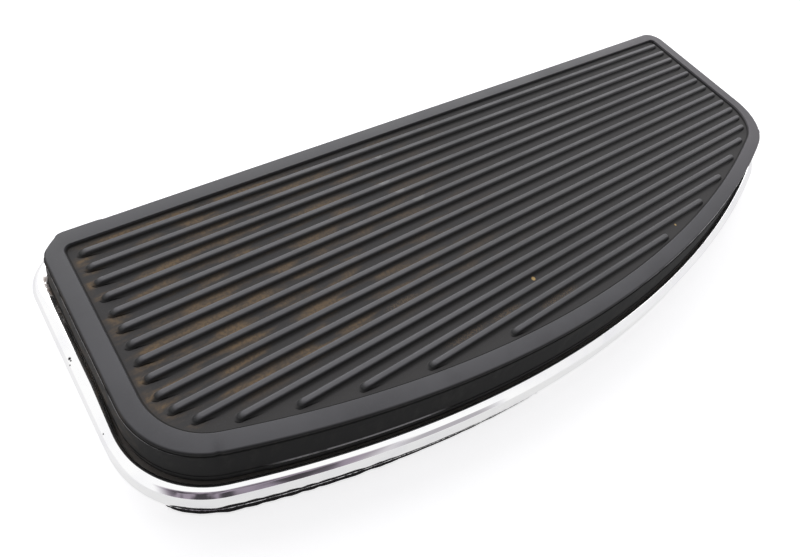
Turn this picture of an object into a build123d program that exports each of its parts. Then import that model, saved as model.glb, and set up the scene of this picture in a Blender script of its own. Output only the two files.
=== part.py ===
"""Rider floorboard: a ribbed rubber tread pad, isolated on a chrome plated steel pan.

Millimetres, +Z up. The origin is on the surface that the board rests on, at the middle of its box.
The straight back edge is on the +Y side and the bowed front edge on the -Y side.
"""
import os
from math import asin, atan2, degrees, radians, sqrt, tan

from build123d import *

# Outline of the tread, seen from above
pad_length = 300.0
pad_depth = 106.6
front_corner_radius = 26.0
back_corner_radius = 8.0
bow_radius = 386.0
sharpest_corner = 0.5

# Heights of the two main pieces
pan_floor_height = 10.0
pad_height = 16.0

# Tread pad: border, lip, steep flank and upright foot
border_width = 5.5
back_border_width = 4.7
border_draft = 0.4
groove_depth = 2.2
lip_height = 1.5
lip_ledge = 0.4
flank_height = 10.3
foot_ledge = 0.4
foot_spread = 2.9
foot_wall = 3.7
slab_thickness = 4.4
edge_rounding = 0.8

# Ribs of the tread, laid from the straight back edge until the next one would be too short
shortest_rib = 40.0
rib_from_back = 8.4
rib_pitch = 5.71
even_rib_gaps = 9
front_rib_pitch = 5.44
front_pitch_step = 0.11
rib_base_width = 3.5
rib_crest_width = 1.5
rib_end_gap = 3.5

# Chrome plated pan, with a bead that is rolled to a flat crest and a sloping shoulder
sheet = 1.5
pad_seat_clearance = 0.9
bead_width = 3.7
bead_height = 2.9
shoulder_run = 1.6
shoulder_drop = 1.9
bead_flat = 0.1
skirt_flare = 0.7

# Steel plate bonded under the tread
plate_thickness = 2.4
plate_edge_clearance = 0.3

# Rubber isolators with their studs and hardware
isolator_end_inset = 50.0
isolator_edge_inset = 31.3
hardware_centre_y = 5.0
isolator_radius = 11.0
isolator_neck_radius = 7.0
isolator_lower_radius = 10.0
isolator_lower_height = 3.0
isolator_chamfer = 0.8
sleeve_radius = 4.6
stud_radius = 3.0
stud_head_radius = 5.0
stud_head_height = 1.0
stud_tip = 0.3
washer_radius = 9.0
washer_thickness = 1.2
lock_nut_flats = 10.0
lock_nut_height = 3.2

# Mounting plates, with the nuts that take the bolts of the support bracket
mount_spacing_x = 110.0
mount_spacing_y = 40.0
mount_plate_width = 44.0
mount_plate_depth = 84.0
mount_plate_thickness = 3.0
mount_plate_corner = 6.0
bolt_hole_radius = 4.25
nut_thread_radius = 4.0
weld_nut_flats = 13.0
weld_nut_height = 6.5
nut_relief = 2.5

# Rivets that hold the mounting plates, flush below
rivet_spacing_x = 28.0
rivet_spacing_y = 68.0
rivet_radius = 2.4
rivet_head_radius = 4.4
rivet_head_height = 1.8
rivet_head_top_radius = 2.6
rivet_sink_radius = 3.6
rivet_sink_angle = 90.0

# Clearance of studs, sleeves and rivets in their holes
hole_clearance = 0.1

# Levels and outline growths that follow from the sizes above
pad_top = pan_floor_height + pad_height
lip_bottom = pad_top - lip_height
foot_top = lip_bottom - flank_height
groove_floor = pad_top - groove_depth
slab_bottom = groove_floor - slab_thickness
plate_bottom = slab_bottom - plate_thickness
pan_floor_bottom = pan_floor_height - sheet
hollow_growth = foot_spread - foot_wall
bead_inner = foot_spread + pad_seat_clearance
bead_outer = bead_inner + bead_width
bead_crest = pan_floor_height + bead_height
bead_base = bead_crest - shoulder_drop
skirt_outer = bead_outer + skirt_flare
isolator_spacing_x = pad_length - 2 * isolator_end_inset
isolator_spacing_y = pad_depth - 2 * isolator_edge_inset
isolator_bottom = pan_floor_bottom - isolator_lower_height
washer_bottom = isolator_bottom - washer_thickness
lock_nut_bottom = washer_bottom - lock_nut_height
stud_bottom = lock_nut_bottom - stud_tip
mount_face = pan_floor_bottom - mount_plate_thickness
rivet_sink_depth = (rivet_sink_radius - rivet_radius) / tan(radians(rivet_sink_angle / 2))
crest_rounding = min(edge_rounding, 0.45 * rib_crest_width)
crest_half_turn = atan2(shoulder_drop, shoulder_run) / 2
bead_rounding = (bead_width - shoulder_run - bead_flat) / (1 + tan(crest_half_turn))

# Centres of the two arcs that shape the front of the outline, right half
bow_y = bow_radius - pad_depth / 2
corner_x = pad_length / 2 - front_corner_radius
corner_y = bow_y - sqrt((bow_radius - front_corner_radius) ** 2 - corner_x**2)
bow_half_angle = degrees(asin(corner_x / (bow_radius - front_corner_radius)))

os.makedirs("parts", exist_ok=True)


def save(builder, name):
    """Label a finished piece and write it as a STEP file of its own."""
    builder.part.label = name
    export_step(builder.part, f"parts/{name}.step")


def tread_face(height, growth, back_growth=None):
    """The tread's outline, grown outward by a distance, as a face at a height."""
    half = pad_length / 2 + growth
    back = pad_depth / 2 + (growth if back_growth is None else back_growth)
    corner = front_corner_radius + growth
    bow = bow_radius + growth
    rear_corner = max(back_corner_radius + growth, sharpest_corner)
    with BuildSketch(Plane.XY.offset(height)) as face:
        with BuildLine():
            CenterArc((0, bow_y), bow, 270 - bow_half_angle, 2 * bow_half_angle)
            CenterArc((corner_x, corner_y), corner, 270 + bow_half_angle, 90 - bow_half_angle)
            Line((half, corner_y), (half, back - rear_corner))
            CenterArc((half - rear_corner, back - rear_corner), rear_corner, 0, 90)
            Line((half - rear_corner, back), (rear_corner - half, back))
            CenterArc((rear_corner - half, back - rear_corner), rear_corner, 90, 90)
            Line((-half, back - rear_corner), (-half, corner_y))
            CenterArc((-corner_x, corner_y), corner, 180, 90 - bow_half_angle)
        make_face()
    return face.sketch


def half_width(y, growth):
    """Half the width of the grown outline at a distance y from the middle."""
    if y > corner_y:
        return pad_length / 2 + growth
    bow = bow_radius + growth
    corner = front_corner_radius + growth
    on_bow = sqrt(max(bow**2 - (bow_y - y) ** 2, 0.0))
    if on_bow * (bow_y - corner_y) < corner_x * (bow_y - y):
        return on_bow
    return corner_x + sqrt(max(corner**2 - (y - corner_y) ** 2, 0.0))


def rib_rows():
    """Each rib's distance from the middle of the pad and its length, from the back to the front."""
    rows = []
    y = pad_depth / 2 - rib_from_back
    length = 2 * half_width(y, -border_width - rib_end_gap)
    while length > shortest_rib:
        rows.append((y, length))
        front_gaps = len(rows) - 1 - even_rib_gaps
        y -= rib_pitch if front_gaps < 0 else front_rib_pitch - front_pitch_step * front_gaps
        length = 2 * half_width(y, -border_width - rib_end_gap)
    return rows


# Tread pad: foot, flank and lip, then the recess with its ribs and the hollow below
with BuildPart() as tread_pad:
    extrude(tread_face(pan_floor_height, foot_spread), amount=foot_top - pan_floor_height)
    loft([tread_face(foot_top, foot_spread - foot_ledge), tread_face(lip_bottom, lip_ledge)], ruled=True)
    extrude(tread_face(lip_bottom, 0), amount=lip_height)
    loft(
        [
            tread_face(groove_floor, -border_width - border_draft, -back_border_width - border_draft),
            tread_face(pad_top, -border_width, -back_border_width),
        ],
        ruled=True,
        mode=Mode.SUBTRACT,
    )
    extrude(
        tread_face(pan_floor_height, hollow_growth),
        amount=slab_bottom - pan_floor_height,
        mode=Mode.SUBTRACT,
    )
    for rib_y, rib_length in rib_rows():
        crest_inset = rib_base_width - rib_crest_width
        with BuildSketch(Plane.XY.offset(groove_floor)):
            with Locations((0, rib_y)):
                SlotOverall(rib_length, rib_base_width)
        with BuildSketch(Plane.XY.offset(pad_top)):
            with Locations((0, rib_y)):
                SlotOverall(rib_length - crest_inset, rib_crest_width)
        loft(ruled=True)
    fillet(tread_pad.edges().group_by(Axis.Z)[-1], crest_rounding)
save(tread_pad, "tread_pad")

# Chrome plated pan: flared skirt, sloping shoulder, rolled bead and the floor with its holes
with BuildPart() as chrome_pan:
    loft([tread_face(0, skirt_outer), tread_face(bead_base, bead_outer)], ruled=True)
    loft([tread_face(bead_base, bead_outer), tread_face(bead_crest, bead_outer - shoulder_run)], ruled=True)
    extrude(tread_face(pan_floor_height, bead_inner), amount=bead_height, mode=Mode.SUBTRACT)
    fillet(chrome_pan.edges().group_by(Axis.Z)[-1], bead_rounding)
    loft(
        [tread_face(0, skirt_outer - sheet), tread_face(pan_floor_bottom, bead_outer - sheet)],
        ruled=True,
        mode=Mode.SUBTRACT,
    )
    with BuildSketch(Plane.XY.offset(pan_floor_bottom)):
        with Locations((0, hardware_centre_y)):
            with GridLocations(isolator_spacing_x, isolator_spacing_y, 2, 2):
                Circle(isolator_neck_radius + hole_clearance)
            with GridLocations(mount_spacing_x, mount_spacing_y, 2, 2):
                Circle(bolt_hole_radius)
            with GridLocations(mount_spacing_x, 1, 2, 1):
                with GridLocations(rivet_spacing_x, rivet_spacing_y, 2, 2):
                    Circle(rivet_radius + hole_clearance)
    extrude(amount=sheet, mode=Mode.SUBTRACT)
save(chrome_pan, "chrome_pan")

# Steel plate bonded under the tread, with seats for the stud heads and room for the weld nuts
with BuildPart() as backing_plate:
    extrude(tread_face(plate_bottom, hollow_growth - plate_edge_clearance), amount=plate_thickness)
    with BuildSketch(Plane.XY.offset(plate_bottom)):
        with Locations((0, hardware_centre_y)):
            with GridLocations(isolator_spacing_x, isolator_spacing_y, 2, 2):
                Circle(stud_radius + hole_clearance)
            with GridLocations(mount_spacing_x, mount_spacing_y, 2, 2):
                Circle(weld_nut_flats / 2 + nut_relief)
    extrude(amount=plate_thickness, mode=Mode.SUBTRACT)
    with BuildSketch(Plane.XY.offset(slab_bottom - stud_head_height)):
        with Locations((0, hardware_centre_y)):
            with GridLocations(isolator_spacing_x, isolator_spacing_y, 2, 2):
                Circle(stud_head_radius + hole_clearance)
    extrude(amount=stud_head_height, mode=Mode.SUBTRACT)
save(backing_plate, "backing_plate")

# Isolators, each with its stud, sleeve, washer and lock nut
for side, side_sign in (("left", -1), ("right", 1)):
    for row, row_sign in (("front", -1), ("back", 1)):
        x = side_sign * isolator_spacing_x / 2
        y = hardware_centre_y + row_sign * isolator_spacing_y / 2
        place = f"{row}_{side}"

        with BuildPart() as isolator:
            with BuildSketch(Plane((x, y, pan_floor_height))):
                Circle(isolator_radius)
            extrude(amount=plate_bottom - pan_floor_height)
            with BuildSketch(Plane((x, y, isolator_bottom))):
                Circle(isolator_lower_radius)
            extrude(amount=isolator_lower_height)
            chamfer(isolator.edges().group_by(Axis.Z)[0], isolator_chamfer)
            chamfer(isolator.edges().group_by(Axis.Z)[-1], isolator_chamfer)
            with BuildSketch(Plane((x, y, pan_floor_bottom))):
                Circle(isolator_neck_radius)
            extrude(amount=sheet)
            with BuildSketch(Plane((x, y, isolator_bottom))):
                Circle(sleeve_radius + hole_clearance)
            extrude(amount=plate_bottom - isolator_bottom, mode=Mode.SUBTRACT)
        save(isolator, f"isolator_{place}")

        with BuildPart() as sleeve:
            with BuildSketch(Plane((x, y, isolator_bottom))):
                Circle(sleeve_radius)
                Circle(stud_radius + hole_clearance, mode=Mode.SUBTRACT)
            extrude(amount=plate_bottom - isolator_bottom)
        save(sleeve, f"spacer_sleeve_{place}")

        with BuildPart() as stud:
            with BuildSketch(Plane((x, y, stud_bottom))):
                Circle(stud_radius)
            extrude(amount=slab_bottom - stud_bottom)
            chamfer(stud.edges().group_by(Axis.Z)[0], stud_tip)
            with BuildSketch(Plane((x, y, slab_bottom - stud_head_height))):
                Circle(stud_head_radius)
            extrude(amount=stud_head_height)
        save(stud, f"plate_stud_{place}")

        with BuildPart() as washer:
            with BuildSketch(Plane((x, y, washer_bottom))):
                Circle(washer_radius)
                Circle(stud_radius + hole_clearance, mode=Mode.SUBTRACT)
            extrude(amount=washer_thickness)
        save(washer, f"washer_{place}")

        with BuildPart() as lock_nut:
            with BuildSketch(Plane((x, y, lock_nut_bottom))):
                RegularPolygon(lock_nut_flats / 2, 6, major_radius=False)
                Circle(stud_radius + hole_clearance, mode=Mode.SUBTRACT)
            extrude(amount=lock_nut_height)
        save(lock_nut, f"lock_nut_{place}")

# Mounting plates under the pan, each with two weld nuts and four rivets
for side, side_sign in (("left", -1), ("right", 1)):
    plate_x = side_sign * mount_spacing_x / 2

    with BuildPart() as mounting_plate:
        with BuildSketch(Plane((plate_x, hardware_centre_y, mount_face))):
            RectangleRounded(mount_plate_width, mount_plate_depth, mount_plate_corner)
            with GridLocations(1, mount_spacing_y, 1, 2):
                Circle(bolt_hole_radius, mode=Mode.SUBTRACT)
        extrude(amount=mount_plate_thickness)
        with Locations(Plane((plate_x, hardware_centre_y, mount_face), z_dir=(0, 0, -1))):
            with GridLocations(rivet_spacing_x, rivet_spacing_y, 2, 2):
                CounterSinkHole(
                    rivet_radius + hole_clearance,
                    rivet_sink_radius + hole_clearance,
                    mount_plate_thickness,
                    rivet_sink_angle,
                )
    save(mounting_plate, f"mounting_plate_{side}")

    for row, row_sign in (("front", -1), ("back", 1)):
        nut_y = hardware_centre_y + row_sign * mount_spacing_y / 2
        with BuildPart() as weld_nut:
            with BuildSketch(Plane((plate_x, nut_y, pan_floor_height))):
                RegularPolygon(weld_nut_flats / 2, 6, major_radius=False)
                Circle(nut_thread_radius, mode=Mode.SUBTRACT)
            extrude(amount=weld_nut_height)
        save(weld_nut, f"weld_nut_{row}_{side}")

        for hand, hand_sign in (("outer", side_sign), ("inner", -side_sign)):
            rivet_x = plate_x + hand_sign * rivet_spacing_x / 2
            rivet_y = hardware_centre_y + row_sign * rivet_spacing_y / 2
            head_top = pan_floor_height + rivet_head_height
            with BuildPart() as rivet:
                with BuildSketch(Plane((rivet_x, rivet_y, 0), x_dir=(1, 0, 0), z_dir=(0, -1, 0))):
                    with BuildLine():
                        Polyline(
                            (0, head_top),
                            (0, mount_face),
                            (rivet_sink_radius, mount_face),
                            (rivet_radius, mount_face + rivet_sink_depth),
                            (rivet_radius, pan_floor_height),
                            (rivet_head_radius, pan_floor_height),
                            (rivet_head_top_radius, head_top),
                            close=True,
                        )
                    make_face()
                revolve(axis=Axis((rivet_x, rivet_y, 0), (0, 0, 1)))
            save(rivet, f"rivet_{row}_{hand}_{side}")
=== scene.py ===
"""Dressed rider floorboard: a ribbed rubber tread pad standing in a chrome plated pan."""
import logging
import math
from dataclasses import dataclass, field
from enum import Enum
from typing import Optional, Sequence, Union

import bmesh
import bpy
from mathutils import Matrix, Vector, noise


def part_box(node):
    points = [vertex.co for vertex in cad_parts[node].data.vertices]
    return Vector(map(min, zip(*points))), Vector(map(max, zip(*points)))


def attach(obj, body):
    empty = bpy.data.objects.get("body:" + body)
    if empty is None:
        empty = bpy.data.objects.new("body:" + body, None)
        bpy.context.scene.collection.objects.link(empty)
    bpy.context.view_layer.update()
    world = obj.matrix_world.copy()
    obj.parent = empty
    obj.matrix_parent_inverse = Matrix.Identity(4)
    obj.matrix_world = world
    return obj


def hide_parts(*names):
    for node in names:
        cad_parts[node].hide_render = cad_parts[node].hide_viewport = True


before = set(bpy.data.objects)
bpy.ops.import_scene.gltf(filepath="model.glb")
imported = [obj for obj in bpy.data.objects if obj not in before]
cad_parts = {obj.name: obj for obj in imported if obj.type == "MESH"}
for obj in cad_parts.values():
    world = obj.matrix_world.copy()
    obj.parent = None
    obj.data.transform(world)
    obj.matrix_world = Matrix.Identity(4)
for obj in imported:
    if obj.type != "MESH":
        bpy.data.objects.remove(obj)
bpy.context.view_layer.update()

MM = 0.001
WELD_M = 1e-6
DRESSED_LENGTH_MM = 301.5
BODY = "root"
LOG = logging.getLogger("floorboard")

Triple = tuple[float, float, float]
Colour = Triple
Span = tuple[float, float]
Socket = bpy.types.NodeSocket
Feed = Union[float, str, Sequence[float], Socket]


class Shading(Enum):
    """How sharply a mesh may turn before an edge shows, in degrees."""

    MOULDED = 40.0
    PRESSED = 50.0


class Blend(Enum):
    """What a mix node blends: its data type, the numbers of its two inputs and of its output."""

    COLOUR = ("RGBA", 6, 7, 2)
    NUMBER = ("FLOAT", 2, 3, 0)


@dataclass(frozen=True)
class Corner:
    """One corner of a section: growth outward from the tread's outline, height and rounding, in mm."""

    growth: float
    height: float
    radius: float = 0.0
    back_extra: float = 0.0


@dataclass(frozen=True)
class Mark:
    """A small mark on a surface: place and size in mm, squeeze along X, Y and Z, and share of its core."""

    place: Triple
    size: float
    squeeze: Triple = (1.0, 1.0, 1.0)
    core: float = 0.4


@dataclass(frozen=True)
class Knock:
    """A small dent or burr in an edge: its place and reach from above and its push, in mm."""

    place: Span
    reach: float
    push: Triple


@dataclass(frozen=True)
class Pattern:
    """A soft noise: blob size in mm, detail, a step to cut it by, packing along X, Y and Z, and offset."""

    size: float
    detail: float
    step: Span = (0.0, 1.0)
    pack: Triple = (1.0, 1.0, 1.0)
    shift: float = 0.0


@dataclass(frozen=True)
class EdgeWearAndHighlight:
    """A pale line on an edge, part rubbed edge and part painted highlight: the ramps in mm that bound it,
    over X, Y, Z or growth, and its strength.
    """

    ramps: tuple[tuple[str, Span], ...]
    strength: float = 1.0


def clamp(value: float) -> float:
    """A value held between 0 and 1."""
    return min(max(value, 0.0), 1.0)


def put(name: str, data: bpy.types.ID) -> bpy.types.Object:
    """Make an object of the scene from a mesh, a lamp or a camera.

    Args:
        name: name of the object.
        data: what it shows.

    Returns:
        The new object, at the origin.
    """
    thing = bpy.data.objects.new(name, data)
    bpy.context.scene.collection.objects.link(thing)
    return thing


@dataclass(frozen=True)
class TreadOutline:
    """The tread's outline from above, in mm: straight back edge, two round corners and a bowed front."""

    length: float = 300.0
    depth: float = 106.6
    front_corner: float = 26.0
    back_corner: float = 8.0
    bow: float = 386.0
    longest_step: float = 1.6
    corner_step_deg: float = 2.5

    @property
    def bow_y(self) -> float:
        """Distance of the bow's centre behind the middle of the board."""
        return self.bow - self.depth / 2

    @property
    def corner_x(self) -> float:
        """Distance of a front corner's centre from the middle plane."""
        return self.length / 2 - self.front_corner

    @property
    def corner_y(self) -> float:
        """Place of a front corner's centre along the depth."""
        return self.bow_y - math.sqrt((self.bow - self.front_corner) ** 2 - self.corner_x**2)

    def outward(self, x: float, y: float) -> Vector:
        """Direction away from the board along its bow or front corners.

        Args:
            x: place along the length, in mm.
            y: place along the depth, in mm.

        Returns:
            The direction, of length 1.
        """
        beside = abs(x) * (self.bow_y - self.corner_y) > self.corner_x * (self.bow_y - y)
        centre = (math.copysign(self.corner_x, x), self.corner_y) if beside else (0.0, self.bow_y)
        return (Vector((x, y)) - Vector(centre)).normalized()

    def half_width(self, y: float, growth: float) -> float:
        """Half the width of the grown outline at one place along the depth.

        Args:
            y: place along the depth, in mm.
            growth: distance by which the outline is grown outward, in mm.

        Returns:
            The distance from the middle plane to the outline, in mm.
        """
        if y > self.corner_y:
            return self.length / 2 + growth
        on_bow = math.sqrt(max((self.bow + growth) ** 2 - (self.bow_y - y) ** 2, 0.0))
        if on_bow * (self.bow_y - self.corner_y) < self.corner_x * (self.bow_y - y):
            return on_bow
        reach = (self.front_corner + growth) ** 2 - (y - self.corner_y) ** 2
        return self.corner_x + math.sqrt(max(reach, 0.0))

    def samples(self) -> list[tuple[Vector, Vector, bool]]:
        """Points along the outline, counter-clockwise from the left end of the bow.

        Returns:
            For each point its place, its outward direction and whether it belongs to the back edge.
        """
        half_angle = math.degrees(math.asin(self.corner_x / (self.bow - self.front_corner)))
        bow_step = math.degrees(self.longest_step / self.bow)
        inner_x = self.length / 2 - self.back_corner
        inner_y = self.depth / 2 - self.back_corner
        step = self.corner_step_deg
        points: list[tuple[Vector, Vector, bool]] = []
        self._arc(points, (0.0, self.bow_y), self.bow, 270 - half_angle, 270 + half_angle, bow_step, False)
        right_corner = (self.corner_x, self.corner_y)
        self._arc(points, right_corner, self.front_corner, 270 + half_angle, 360, step, False)
        self._run(points, (self.length / 2, self.corner_y), (self.length / 2, inner_y), False)
        self._arc(points, (inner_x, inner_y), self.back_corner, 0, 90, step, True)
        self._run(points, (inner_x, self.depth / 2), (-inner_x, self.depth / 2), True)
        self._arc(points, (-inner_x, inner_y), self.back_corner, 90, 180, step, True)
        self._run(points, (-self.length / 2, inner_y), (-self.length / 2, self.corner_y), False)
        left_corner = (-self.corner_x, self.corner_y)
        self._arc(points, left_corner, self.front_corner, 180, 270 - half_angle, step, False)
        return points

    def _arc(self, points: list, centre: tuple, radius: float, start: float, end: float,
             step: float, at_back: bool) -> None:
        """Add the points of one arc, without its last point.

        Args:
            points: list that receives the points.
            centre: centre of the arc, in mm.
            radius: radius of the arc, in mm.
            start: first angle, in degrees.
            end: last angle, in degrees.
            step: longest step between points, in degrees.
            at_back: whether the points belong to the back edge.
        """
        count = max(2, math.ceil((end - start) / step))
        for k in range(count):
            angle = math.radians(start + (end - start) * k / count)
            out = Vector((math.cos(angle), math.sin(angle)))
            points.append((Vector(centre) + radius * out, out, at_back))

    def _run(self, points: list, start: tuple, end: tuple, at_back: bool) -> None:
        """Add the points of one straight run, without its last point.

        Args:
            points: list that receives the points.
            start: first point, in mm.
            end: last point, in mm.
            at_back: whether the points belong to the back edge.
        """
        first, last = Vector(start), Vector(end)
        along = (last - first).normalized()
        out = Vector((along.y, -along.x))
        count = max(1, math.ceil((last - first).length / self.longest_step))
        for k in range(count):
            points.append((first.lerp(last, k / count), out, at_back))


def rounded_section(corners: Sequence[Corner], steps: int, straight: float = 0.02,
                    run_share: float = 0.48) -> list[Corner]:
    """Replace each rounded corner of a section by the points of its arc.

    Args:
        corners: corners of the section in order.
        steps: number of steps along each arc.
        straight: turn below which a corner counts as straight, in radians.
        run_share: largest share of a straight run that an arc takes up.

    Returns:
        The points of the section in order.
    """
    points: list[Corner] = [corners[0]]
    for before, corner, after in zip(corners, corners[1:], corners[2:]):
        here = Vector((corner.growth, corner.height))
        back = Vector((before.growth, before.height)) - here
        ahead = Vector((after.growth, after.height)) - here
        opening = back.angle(ahead)
        if corner.radius <= 0.0 or math.pi - opening < straight:
            points.append(corner)
            continue
        shorter = min(back.length, ahead.length)
        reach = min(corner.radius / math.tan(opening / 2), run_share * shorter)
        radius = reach * math.tan(opening / 2)
        towards = (back.normalized() + ahead.normalized()).normalized()
        centre = here + towards * (radius / math.sin(opening / 2))
        first = here + back.normalized() * reach - centre
        last = here + ahead.normalized() * reach - centre
        turn = first.angle_signed(last)
        for k in range(steps + 1):
            spoke = first.copy()
            spoke.rotate(Matrix.Rotation(-turn * k / steps, 2))
            spot = centre + spoke
            points.append(Corner(spot.x, spot.y, 0.0, corner.back_extra))
    points.append(corners[-1])
    return points


class MeshDraft:
    """A mesh in the making, in metres, with helpers that take millimetres."""

    def __init__(self, name: str) -> None:
        """Start an empty draft.

        Args:
            name: name of the finished piece.
        """
        self.name = name
        self.bm = bmesh.new()
        self.growth = self.bm.verts.layers.float.new("growth")
        # painted shadow in front of each rib: up to 1 on the rib's lower front, falling to 0 at the apron's
        # edge
        self.lee = self.bm.verts.layers.float.new("lee")
        self.hem = self.bm.verts.layers.float.new("hem")

    def ring(self, outline: TreadOutline, corner: Corner) -> list[bmesh.types.BMVert]:
        """Add one closed ring of vertices round the outline.

        Args:
            outline: the tread's outline.
            corner: growth and height of the ring.

        Returns:
            The new vertices in order.
        """
        verts = []
        for place, out, at_back in outline.samples():
            spot = place + corner.growth * out
            shift = corner.back_extra if at_back else 0.0
            vert = self.bm.verts.new(Vector((spot.x, spot.y + shift, corner.height)) * MM)
            vert[self.growth] = corner.growth * MM
            verts.append(vert)
        return verts

    def circle(self, x: float, y: float, z: float, radius: float, count: int) -> list[bmesh.types.BMVert]:
        """Add one level circle of vertices.

        Args:
            x: centre along the length, in mm.
            y: centre along the depth, in mm.
            z: height, in mm.
            radius: radius, in mm.
            count: number of vertices.

        Returns:
            The new vertices in order.
        """
        turns = [2 * math.pi * k / count for k in range(count)]
        spots = [(x + radius * math.cos(a), y + radius * math.sin(a), z) for a in turns]
        return [self.bm.verts.new(Vector(spot) * MM) for spot in spots]

    def bridge(self, first: Sequence, second: Sequence) -> None:
        """Join two closed rings of as many vertices by a band of faces.

        Args:
            first: vertices of the first ring.
            second: vertices of the second ring.
        """
        count = len(first)
        for k in range(count):
            n = (k + 1) % count
            self.bm.faces.new((first[k], first[n], second[n], second[k]))

    def sweep(self, outline: TreadOutline, section: Sequence[Corner]) -> tuple[list, list]:
        """Sweep a section round the outline.

        Args:
            outline: the tread's outline.
            section: points of the section in order.

        Returns:
            The first and the last ring of vertices.
        """
        rings = [self.ring(outline, corner) for corner in section]
        for first, second in zip(rings, rings[1:]):
            self.bridge(first, second)
        return rings[0], rings[-1]

    def fill_level(self, height: float) -> None:
        """Fill the area between all open edges at one height, holes left open inside it.

        Args:
            height: height of the open edges, in mm.
        """
        level = height * MM
        edges = [
            e for e in self.bm.edges
            if len(e.link_faces) == 1 and all(abs(v.co.z - level) < WELD_M for v in e.verts)
        ]
        bmesh.ops.triangle_fill(self.bm, use_beauty=True, use_dissolve=False, edges=edges)

    def plain(self) -> bpy.types.Object:
        """Make the draft an object of the scene as it is.

        Returns:
            The new object, at the origin.
        """
        mesh = bpy.data.meshes.new(self.name)
        self.bm.to_mesh(mesh)
        self.bm.free()
        return put(self.name, mesh)

    def finish(self, shading: Shading) -> bpy.types.Object:
        """Turn the draft's faces outward, shade it and make it an object of the scene.

        Args:
            shading: how sharply the mesh may turn before an edge shows.

        Returns:
            The new object, at the origin.
        """
        bmesh.ops.recalc_face_normals(self.bm, faces=self.bm.faces[:])
        thing = self.plain()
        thing.data.shade_smooth()
        thing.data.set_sharp_from_angle(angle=math.radians(shading.value))
        return thing


class Bench:
    """Lays out the nodes of one tree."""

    def __init__(self, tree: bpy.types.NodeTree) -> None:
        """Start on a node tree."""
        self.tree = tree

    def feed(self, socket: Socket, value: Feed) -> None:
        """Link a socket to another, or set its value.

        Args:
            socket: the input to feed.
            value: a socket to link from, a number, a name, a direction or a colour.
        """
        if isinstance(value, bpy.types.NodeSocket):
            self.tree.links.new(value, socket)
        elif isinstance(value, (int, float, str)):
            socket.default_value = value
        else:
            values = tuple(value)
            wanted = len(socket.default_value)
            socket.default_value = values if len(values) == wanted else (*values, 1.0)

    def add(self, kind: str, feeds: Optional[dict] = None, **options: object) -> Sequence[Socket]:
        """Add a node, set its options and feed its inputs.

        Args:
            kind: Blender's name of the node.
            feeds: what goes into its inputs, by their names or numbers.
            options: its options by name.

        Returns:
            The node's outputs.
        """
        node = self.tree.nodes.new(kind)
        for name, value in options.items():
            setattr(node, name, value)
        for key, value in (feeds or {}).items():
            self.feed(node.inputs[key], value)
        return node.outputs


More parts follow.
